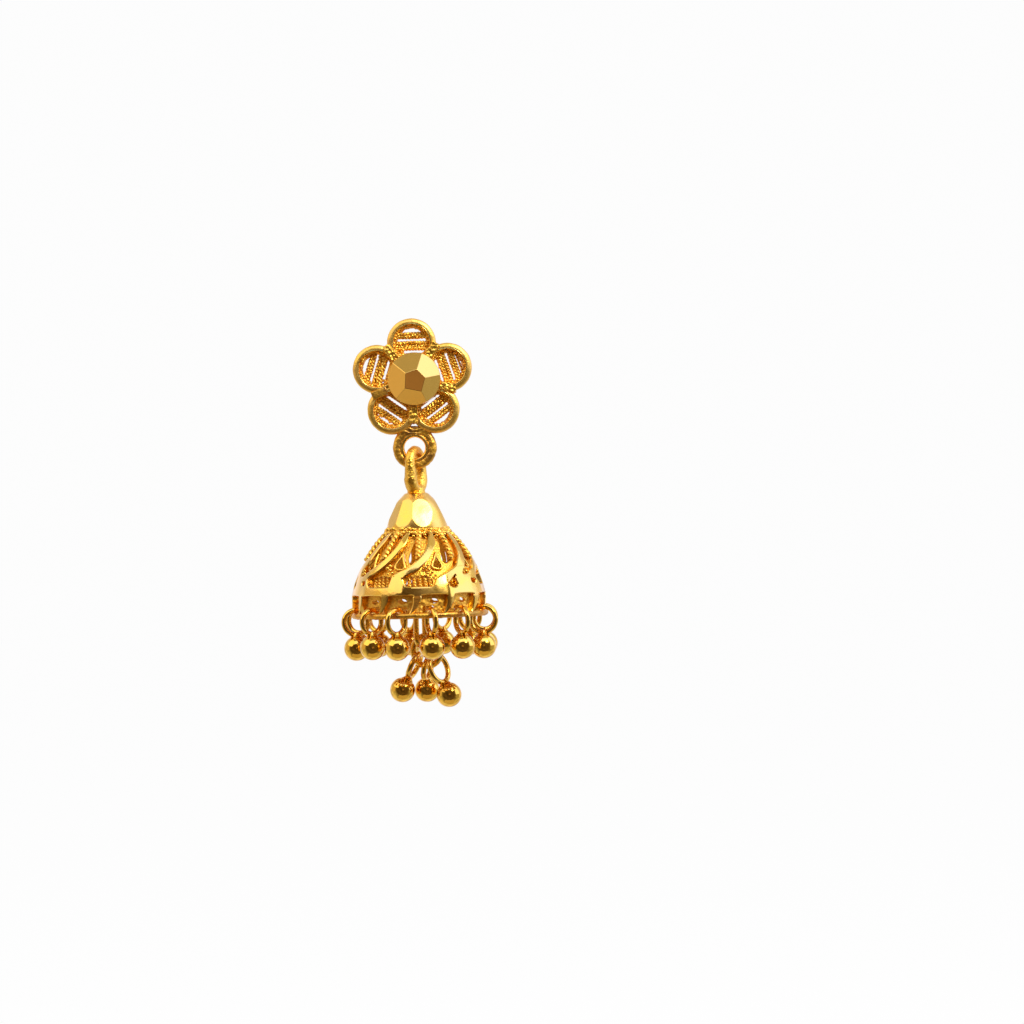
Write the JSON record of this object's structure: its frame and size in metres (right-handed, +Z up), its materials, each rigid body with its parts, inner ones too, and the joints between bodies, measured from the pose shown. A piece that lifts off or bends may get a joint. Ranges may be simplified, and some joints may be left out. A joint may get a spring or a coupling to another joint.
{
  "type": "jhumka earring",
  "caption": "Gold jhumka earring: a filigree flower stud with a faceted dome, and an openwork bell that swings on a loop, with ball drops on its rim and inside.",
  "frame": {"origin": "middle of the flower's back, where the ear post leaves it and the ear lobe sits", "axes": "+Z up, +Y backwards along the ear post, so the front faces -Y and +X is to the viewer's right"},
  "size_m": [0.0124, 0.0169, 0.0311],
  "materials": {
    "stud_gold": "cast filigree, bright and grainy, with polished rims and facets",
    "post_gold": "plain polished wire",
    "bell_gold": "polished ribs, band and facets over grainy twisted wire",
    "ring_gold": "smooth drawn wire",
    "ball_gold": "mirror-polished balls on smooth wire rings"
  },
  "bodies": {
    "stud": {"flower": "stud_gold", "ear_post": "post_gold"},
    "drop": {"bell": "bell_gold", "rim_drop_01": "ball_gold", "rim_drop_02": "ball_gold", "rim_drop_03": "ball_gold", "rim_drop_04": "ball_gold", "rim_drop_05": "ball_gold", "rim_drop_06": "ball_gold", "rim_drop_07": "ball_gold", "rim_drop_08": "ball_gold", "rim_drop_09": "ball_gold", "rim_drop_10": "ball_gold", "rim_drop_11": "ball_gold", "rim_drop_12": "ball_gold", "centre_ring": "ring_gold", "centre_drop_1": "ball_gold", "centre_drop_2": "ball_gold", "centre_drop_3": "ball_gold"}
  },
  "joints": [
    {"name": "bell_swing", "type": "hinge", "parent": "stud", "child": "drop", "pos_m": [0, -0.00065, -0.00673], "axis": [0.9272, -0.3746, 0], "range_deg": [-75, 75]}
  ]
}
